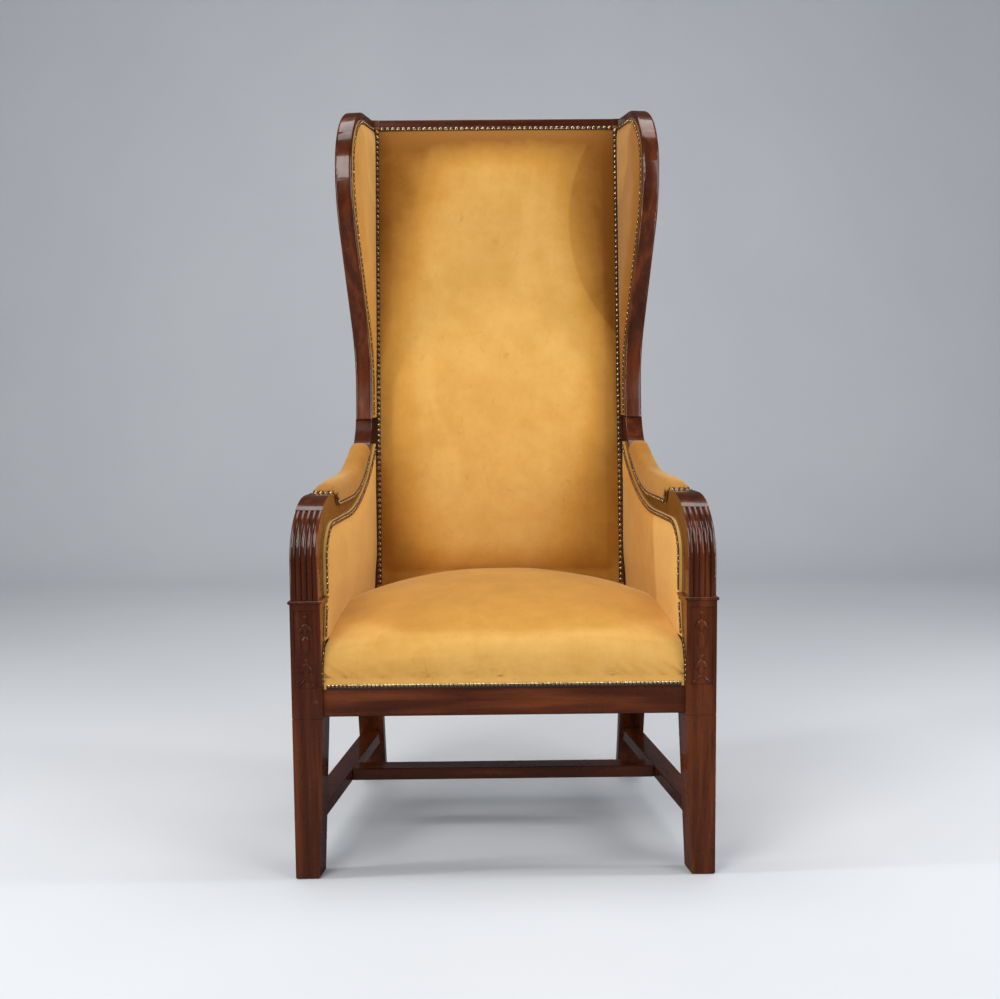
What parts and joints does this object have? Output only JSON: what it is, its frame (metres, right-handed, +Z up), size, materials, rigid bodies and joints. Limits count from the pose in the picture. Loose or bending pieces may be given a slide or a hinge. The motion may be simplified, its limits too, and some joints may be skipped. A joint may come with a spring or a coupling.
{
  "type": "wingback chair",
  "caption": "Tall wing armchair with mustard velvet upholstery, domed brass nailing, reeded arm supports, tapered front legs, swept rear legs and an H stretcher.",
  "frame": {"origin": "middle of the chair's bounding box at floor level", "axes": "+Z up, the chair faces -Y, +X to the right hand of someone facing the chair"},
  "size_m": [0.678, 0.5998, 1.2833],
  "materials": {
    "mahogany": "reddish-brown wood under a glossy french polish",
    "velvet": "mustard-gold short-pile velvet with brushed patches",
    "antique_brass": "domed nail heads in aged brass",
    "webbing": "woven jute webbing",
    "hessian": "coarse hessian",
    "stuffing": "hair and wadding",
    "lining": "black cotton lining"
  },
  "bodies": {
    "root": {"arm_pad_cover_left": "velvet", "arm_pad_cover_right": "velvet", "arm_pad_nails": "antique_brass", "arm_pad_stuffing_left": "stuffing", "arm_pad_stuffing_right": "stuffing", "arm_rail_left": "mahogany", "arm_rail_right": "mahogany", "arm_support_left": "mahogany", "arm_support_right": "mahogany", "back_hessian": "hessian", "back_seat_rail": "mahogany", "back_stay_rail": "mahogany", "back_stuffing": "stuffing", "back_webbing": "webbing", "bottom_cloth": "lining", "corner_braces": "mahogany", "cross_stretcher": "mahogany", "front_post_left": "mahogany", "front_post_right": "mahogany", "front_seat_rail": "mahogany", "inside_arm_cover_left": "velvet", "inside_arm_cover_right": "velvet", "inside_arm_nails": "antique_brass", "inside_arm_stuffing_left": "stuffing", "inside_arm_stuffing_right": "stuffing", "inside_back_cover": "velvet", "inside_back_nails": "antique_brass", "inside_wing_cover_left": "velvet", "inside_wing_cover_right": "velvet", "inside_wing_stuffing_left": "stuffing", "inside_wing_stuffing_right": "stuffing", "joint_pegs": "mahogany", "outside_arm_cover_left": "velvet", "outside_arm_cover_right": "velvet", "outside_back_cover": "velvet", "outside_wing_cover_left": "velvet", "outside_wing_cover_right": "velvet", "post_collar_left": "mahogany", "post_collar_right": "mahogany", "rear_post_left": "mahogany", "rear_post_right": "mahogany", "seat_cover": "velvet", "seat_end_nails": "antique_brass", "seat_front_nails": "antique_brass", "seat_hessian": "hessian", "seat_stuffing": "stuffing", "seat_webbing": "webbing", "side_seat_rail_left": "mahogany", "side_seat_rail_right": "mahogany", "side_stretcher_left": "mahogany", "side_stretcher_right": "mahogany", "top_rail": "mahogany", "wing_crest_left": "mahogany", "wing_crest_right": "mahogany", "wing_nails": "antique_brass", "wing_upright_left": "mahogany", "wing_upright_right": "mahogany"}
  },
  "joints": []
}
